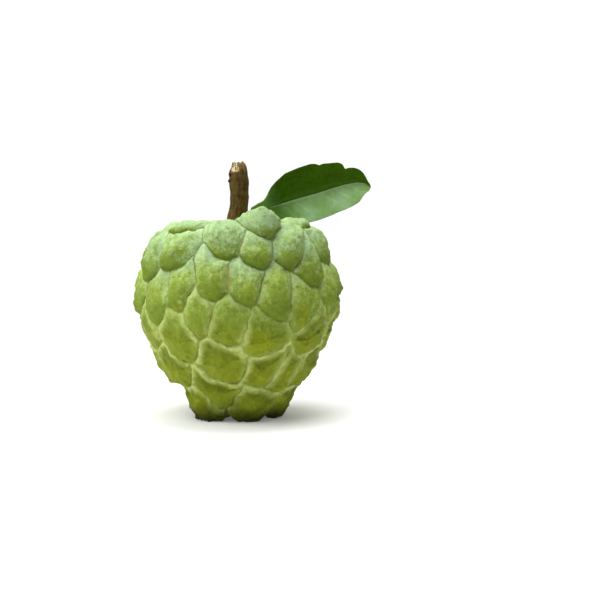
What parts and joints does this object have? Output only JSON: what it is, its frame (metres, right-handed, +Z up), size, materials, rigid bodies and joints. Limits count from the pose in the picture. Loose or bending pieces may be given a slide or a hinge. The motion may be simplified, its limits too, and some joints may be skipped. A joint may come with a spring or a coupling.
{
  "type": "custard apple",
  "caption": "Whole custard apple, a heart-shaped green fruit covered in raised scales, with its woody stalk and a small leaf.",
  "frame": {"origin": "middle of the small flat spot at the blossom end, which the fruit rests on", "axes": "+Z up along the fruit's axis to the stalk, -Y the front of the fruit, +X the side that the leaf points to"},
  "size_m": [0.0823, 0.0718, 0.0874],
  "materials": {
    "skin": "powdery bloom over a waxy yellow-green skin",
    "bark": "dull wrinkled bark",
    "leaf": "satin leaf"
  },
  "bodies": {
    "root": {"fruit": "skin", "stalk": "bark", "leaf": "leaf"}
  },
  "joints": []
}
